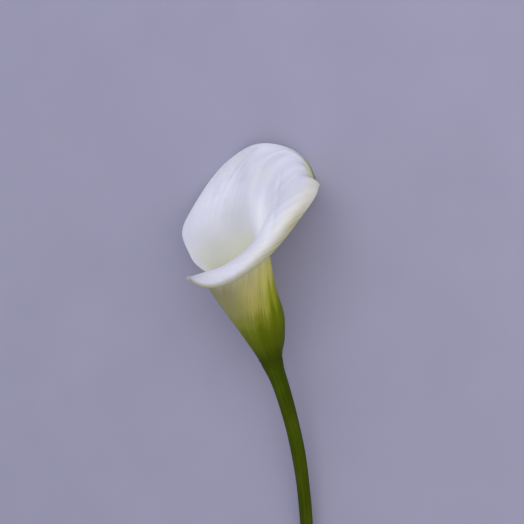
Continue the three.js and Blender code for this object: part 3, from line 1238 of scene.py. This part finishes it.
    @staticmethod
    def edge_faces(columns: int, rows: int) -> Faces:
        """Close the leaf along its margin, its foot and its two lapped edges.

        Args:
            columns: Columns of points on each face.
            rows: Points in each column.

        Returns:
            The quads that join the outer face to the inner one.
        """
        count = columns * rows
        faces = []
        for i in range(columns - 1):
            low, high = i * rows, (i + 1) * rows
            faces.append((low, low + count, high + count, high))
            low, high = low + rows - 1, high + rows - 1
            faces.append((high, high + count, low + count, low))
        last = (columns - 1) * rows
        for j in range(rows - 1):
            faces.append((j + 1, j + 1 + count, j + count, j))
            faces.append((last + j, last + j + count, last + j + 1 + count, last + j + 1))
        return faces

    def build(self, pose: RestingPose) -> bpy.types.Object:
        """Make the spathe and hand it to the frame.

        Args:
            pose: How the bloom lies.

        Returns:
            The finished piece.
        """
        piece = self.skin(pose).build(self.name, self.finish.material())
        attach(piece, BODY)
        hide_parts("spathe")
        return piece


@dataclass
class Stem:
    """The round leafless stalk, with the short neck that carries the spike of florets.

    Attributes:
        neck: Heights over the foot of the spathe and radii of the neck.
        cut: Radii of the cut end as shares of the stem's, and how deep it sinks there.
        ridges: Plain waves round the stalk: how many, how high and their phase.
    """

    name: str = "flower_stem"
    finish: Finish = StalkFinish()
    length: float = 165.0
    cut_radius: float = 4.0
    taper: float = 1.3
    taper_length: float = 38.0
    bend_radius: float = 520.0
    start_lean: float = 2.5
    start_length: float = 10.0
    bend_side: float = 204.0
    collar_flare: float = 1.95
    collar_length: float = 12.0
    collar_power: float = 1.3
    shift: Bell = Bell(0.5, 7.0, 8.0)
    sway: float = 1.6
    waist: Bell = Bell(0.2, 10.0, 5.0)
    swell: Bell = Bell(0.16, 46.0, 20.0)
    top_round: float = 0.4
    top_length: float = 2.5
    crowding: float = 1.35
    seat_gap: float = 0.3
    sides: int = 132
    steps: int = 300
    unevenness: float = 0.05
    uneven_wave: Ripple = Ripple(0.006, 0.03, 4, 21)
    uneven_start: float = 30.0
    ridge: float = 0.055
    ridge_start: float = 4.0
    ridges: tuple[tuple[int, float, float], ...] = (
        (17, 0.5, 0.4), (23, 0.7, 2.1), (29, 0.6, 4.0), (11, 0.35, 1.2),
    )
    neck: tuple[Edge, ...] = (
        (-0.25, 3.8), (0.3, 3.6), (0.9, 3.3), (1.6, 2.95), (2.4, 2.65),
        (3.6, 2.5), (5.0, 2.42), (6.4, 2.4), (7.4, 2.45), (8.2, 2.7),
    )
    cut: tuple[Edge, ...] = (
        (0.04, 0.38), (0.12, 0.38), (0.24, 0.36), (0.38, 0.32), (0.52, 0.26),
        (0.66, 0.18), (0.78, 0.1), (0.88, 0.02), (0.95, -0.04), (0.985, -0.06),
    )

    def places(self) -> Array:
        """Return how far down the stem its rings lie, closer together at the top."""
        return self.length * np.linspace(0.0, 1.0, self.steps + 1) ** self.crowding

    def centre_line(self) -> tuple[Array, Array]:
        """Follow the middle of the stem down from the foot of the spathe.

        Returns:
            The centres, and the upward direction at each.
        """
        bend = np.array([cos(radians(self.bend_side)), -sin(radians(self.bend_side)), 0.0])
        along = self.places()

        def direction(places: Array) -> Array:
            """Return the upward direction at each place down the stem."""
            swept = radians(self.start_lean) * ease(places / self.start_length) + places / self.bend_radius
            return np.cos(swept)[:, None] * np.array([0.0, 0.0, 1.0]) - np.sin(swept)[:, None] * bend

        middles = direction(0.5 * (along[1:] + along[:-1]))
        walked = np.cumsum(middles * np.diff(along)[:, None], axis=0)
        top = np.array([[0.0, 0.0, -self.seat_gap]])
        share = along / self.length
        aside = self.shift.at(along) - self.sway * np.sin(2.0 * pi * share) * share
        return np.concatenate([top, top - walked]) + aside[:, None] * bend, direction(along)

    def radius_at(self, along: Array) -> Array:
        """Work out how thick the stalk is.

        Args:
            along: Millimetres down from its top.

        Returns:
            The radius at each place.
        """
        radius = self.cut_radius + self.taper * np.exp(-along / self.taper_length)
        radius = radius + self.collar_flare * np.exp(-((along / self.collar_length) ** self.collar_power))
        radius = radius + self.unevenness * self.uneven_wave.at(along) * ease(along / self.uneven_start)
        radius = radius - self.top_round * (1.0 - ease(along / self.top_length))
        return radius - self.waist.at(along) + self.swell.at(along)

    def skin(self, pose: RestingPose) -> Skin:
        """Build the stalk, its ridged skin, its neck and its cut end.

        Args:
            pose: How the bloom lies.

        Returns:
            The closed skin of the stem.
        """
        centres, upward = self.centre_line()
        along = self.places()
        radius = self.radius_at(along)
        cut_share, cut_depth = np.array(self.cut).T
        neck_height, neck_radius = np.array(self.neck).T
        axis = np.array([0.0, 0.0, 1.0])
        path = [centres[-1] + upward[-1] * cut_depth[:, None], centres[::-1], axis * neck_height[:, None]]
        facing = [np.tile(upward[-1], (len(self.cut), 1)), upward[::-1], np.tile(axis, (len(self.neck), 1))]
        path, facing = np.concatenate(path), np.concatenate(facing)
        size = np.concatenate([radius[-1] * cut_share, radius[::-1], neck_radius])
        place = np.concatenate([np.full(len(self.cut), self.length), along[::-1], np.zeros(len(self.neck))])
        on_cut = (np.arange(len(path)) < len(self.cut)).astype(float)

        side = np.cross(np.array([0.0, 1.0, 0.0]), facing)
        side = side / np.linalg.norm(side, axis=-1, keepdims=True)
        other = np.cross(facing, side)
        turns = np.linspace(0.0, 1.0, self.sides, endpoint=False)
        ridges = sum(high * np.cos(2.0 * pi * count * turns + phase) for count, high, phase in self.ridges)
        wave = ridges[:, None] * (self.ridge * (1.0 - on_cut) * ease(place / self.ridge_start))[None, :]
        reach = (size[None, :] + wave)[..., None]
        angle = (2.0 * pi * turns)[:, None, None]
        points = path[None] + reach * (np.cos(angle) * side + np.sin(angle) * other)

        rows = len(path)
        values = {
            "along": np.append(np.tile(place, self.sides), [self.length, 0.0]),
            "around": np.append(np.repeat(turns, rows), [0.0, 0.0]),
            "cut": np.append(np.tile(on_cut, self.sides), [1.0, 0.0]),
        }
        points = np.concatenate([points.reshape(-1, 3), path[:1], path[-1:]])
        return Skin(pose.lay(points), rod_faces(self.sides, rows), values)

    def build(self, pose: RestingPose) -> bpy.types.Object:
        """Make the stem and hand it to the frame.

        Args:
            pose: How the bloom lies.

        Returns:
            The finished piece.
        """
        piece = self.skin(pose).build(self.name, self.finish.material())
        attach(piece, BODY)
        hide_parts("stem")
        return piece


@dataclass
class Spadix:
    """The blunt spike of florets inside the spathe."""

    name: str = "spadix_florets"
    finish: Finish = FloretFinish()
    foot: float = 8.3
    height: float = 46.0
    radius: float = 4.3
    foot_radius: float = 3.1
    swell_share: float = 0.35
    taper: float = 0.18
    taper_zone: Edge = (0.4, 1.0)
    dome_share: float = 0.12
    blunt: float = 0.05
    sides: int = 230
    steps: int = 330
    foot_zone: Edge = (0.243, 0.297)
    floret: float = 1.25
    foot_floret: float = 2.0
    relief: float = 0.38
    foot_relief: float = 0.3
    sunk: float = 0.6
    end_share: float = 0.02
    golden_turn: float = 137.508
    packing: float = 0.87
    search: float = 1.3
    floret_reach: float = 0.56
    squareness: float = 2.6

    def profile(self, t: Array) -> Array:
        """Shape the spike, from its narrow foot to its blunt top.

        Args:
            t: Places up the spike, 0 to 1.

        Returns:
            The radius at each place.
        """
        body = self.foot_radius + (self.radius - self.foot_radius) * ease(t / self.swell_share)
        body = body * (1.0 - self.taper * fade(t, *self.taper_zone))
        into_dome = np.maximum(0.0, (t - 1.0 + self.dome_share) / self.dome_share)
        return body * np.maximum(np.sqrt(np.maximum(0.0, 1.0 - into_dome ** 2)), self.blunt)

    def crowns(self, angle: Array, z: Array, spacing: float) -> Array:
        """Raise florets that wind round the spike, each a golden turn from the last.

        Args:
            angle: Angles round the spike, in radians.
            z: Heights up the spike.
            spacing: Distance between neighbouring florets.

        Returns:
            Height of the florets at each place, 0 between them and 1 on their crowns.
        """
        rise = self.packing * spacing ** 2 / (2.0 * pi * self.radius)
        nearest = np.full(angle.shape, np.inf)
        first = np.round(z / rise)
        around = int(np.ceil(self.search * spacing / rise))
        for k in range(-around, around + 1):
            number = first + k
            turned = (angle - np.radians(self.golden_turn) * number + pi) % (2.0 * pi) - pi
            distance = np.hypot(turned * self.radius, z - number * rise)
            nearest = np.minimum(nearest, distance / (self.floret_reach * spacing))
        return np.sqrt(np.clip(1.0 - nearest ** self.squareness, 0.0, 1.0))

    def skin(self, pose: RestingPose) -> Skin:
        """Build the spike with every floret standing out of it.

        Args:
            pose: How the bloom lies.

        Returns:
            The closed skin of the spike.
        """
        t = np.linspace(0.0, 1.0, self.steps + 1)
        turns = np.linspace(0.0, 2.0 * pi, self.sides, endpoint=False)
        angle, z = np.meshgrid(turns, t * self.height, indexing="ij")
        share = 1.0 - fade(t, *self.foot_zone)
        crown = self.crowns(angle, z, self.floret) * (1.0 - share)
        crown = crown + self.crowns(angle, z, self.foot_floret) * share
        stands = self.relief * (1.0 + self.foot_relief * share) * ease(t / self.end_share)
        reach = self.profile(t) + (crown - self.sunk) * stands * ease((1.0 - t) / self.end_share)
        points = np.stack([np.cos(angle) * reach, np.sin(angle) * reach, self.foot + z], axis=-1)
        ends = np.array([[0.0, 0.0, self.foot], [0.0, 0.0, self.foot + self.height]])
        values = {
            "crown": np.append(crown.reshape(-1), [0.0, 1.0]),
            "foot": np.append(np.tile(share, self.sides), [1.0, 0.0]),
        }
        points = np.concatenate([points.reshape(-1, 3), ends])
        return Skin(pose.lay(points), rod_faces(self.sides, len(t)), values)

    def build(self, pose: RestingPose) -> bpy.types.Object:
        """Make the spadix and hand it to the frame.

        Args:
            pose: How the bloom lies.

        Returns:
            The finished piece.
        """
        piece = self.skin(pose).build(self.name, self.finish.material())
        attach(piece, BODY)
        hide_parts("spadix")
        return piece


@dataclass(frozen=True)
class Lamp:
    """A soft square light, placed as the viewer sees the bloom.

    Attributes:
        name: Name of the light.
        place: How far to the viewer's right, up and toward the viewer it hangs, in metres.
        size: Side of the square.
        power: Watts.
        colour: Its colour.
    """

    name: str
    place: tuple[float, float, float]
    size: float
    power: float
    colour: tuple[float, float, float]


@dataclass(frozen=True)
class Studio:
    """The plain pale floor, the soft lights and the camera that looks down on the bloom."""

    azimuth: float = 96.32
    elevation: float = 66.19
    roll: float = -111.76
    distance: float = 767.0
    lens: float = 85.0
    far_clip: float = 100.0
    aim_side: float = -5.58
    aim_up: float = 58.9
    lamp_aim: float = 0.04
    floor_size: float = 12.0
    floor_drop: float = 0.05
    floor_finish: Finish = FloorFinish()
    sky: Colour = (0.88, 0.88, 1.0, 1.0)
    sky_strength: float = 0.5
    lamps: tuple[Lamp, ...] = (
        Lamp("window_light", (-0.45, 0.7, 1.8), 2.0, 14.5, (0.86, 0.87, 1.0)),
        Lamp("room_light", (0.6, 0.0, 1.8), 1.6, 8.0, (1.0, 0.96, 0.92)),
    )

    def axes(self) -> Matrix:
        """Work out the viewer's directions.

        Returns:
            Right, up and near as the columns of a turn.
        """
        a, e = radians(self.azimuth), radians(self.elevation)
        near = Vector((sin(a) * cos(e), -cos(a) * cos(e), sin(e)))
        level = Vector((0.0, 0.0, 1.0)).cross(near).normalized()
        right = level * cos(radians(self.roll)) + near.cross(level) * sin(radians(self.roll))
        return Matrix((right, near.cross(right), near)).transposed()

    def place_camera(self, pose: RestingPose) -> None:
        """Make the camera.

        Args:
            pose: How the bloom lies.
        """
        axes = self.axes()
        aim = Vector(pose.foot) + axes @ Vector((self.aim_side, self.aim_up, self.distance))
        data = bpy.data.cameras.new("viewpoint")
        data.lens = self.lens
        data.clip_end = self.far_clip
        camera = bpy.data.objects.new("viewpoint", data)
        camera.matrix_world = Matrix.Translation(aim * MM) @ axes.to_4x4()
        bpy.context.scene.collection.objects.link(camera)
        bpy.context.scene.camera = camera

    def lay_floor(self) -> None:
        """Lay the floor just under the bloom."""
        half = self.floor_size / 2.0
        corners = np.array([(-half, -half, 0.0), (half, -half, 0.0), (half, half, 0.0), (-half, half, 0.0)])
        floor = Skin(corners, [(0, 1, 2, 3)], {}).build("floor", self.floor_finish.material())
        floor.location.z = -self.floor_drop * MM

    def hang_lamps(self, pose: RestingPose) -> None:
        """Hang the lamps, each turned to the bloom.

        Args:
            pose: How the bloom lies.
        """
        axes = self.axes()
        centre = Vector(pose.foot) * MM + axes @ Vector((0.0, self.lamp_aim, 0.0))
        for lamp in self.lamps:
            data = bpy.data.lights.new(lamp.name, "AREA")
            data.shape = "SQUARE"
            data.size = lamp.size
            data.energy = lamp.power
            data.color = lamp.colour
            hung = bpy.data.objects.new(lamp.name, data)
            place = axes @ Vector(lamp.place)
            hung.location = centre + place
            hung.rotation_euler = place.to_track_quat("Z", "Y").to_euler()
            bpy.context.scene.collection.objects.link(hung)

    def build(self, pose: RestingPose) -> None:
        """Set up the sky, the camera, the floor and the lamps.

        Args:
            pose: How the bloom lies.
        """
        scene = bpy.context.scene
        scene.view_settings.view_transform = "Standard"
        scene.world = bpy.data.worlds.new("soft_sky")
        scene.world.use_nodes = True
        scene.world.node_tree.nodes.clear()
        wiring = Wiring(scene.world.node_tree)
        sky = wiring.node("Background", {"Color": self.sky, "Strength": self.sky_strength})
        wiring.node("OutputWorld", {0: sky.outputs[0]})
        self.place_camera(pose)
        self.lay_floor()
        self.hang_lamps(pose)


def main() -> None:
    """Build the bloom piece by piece, then the studio round it."""
    logging.basicConfig(level=logging.INFO, format="%(name)s: %(message)s")
    pose = RestingPose()
    for part in (Spathe(), Stem(), Spadix()):
        piece = part.build(pose)
        LOG.info("%s has %d faces", piece.name, len(piece.data.polygons))
    Studio().build(pose)
    LOG.info("floor, lights and camera stand")


if __name__ == "__main__":
    main()
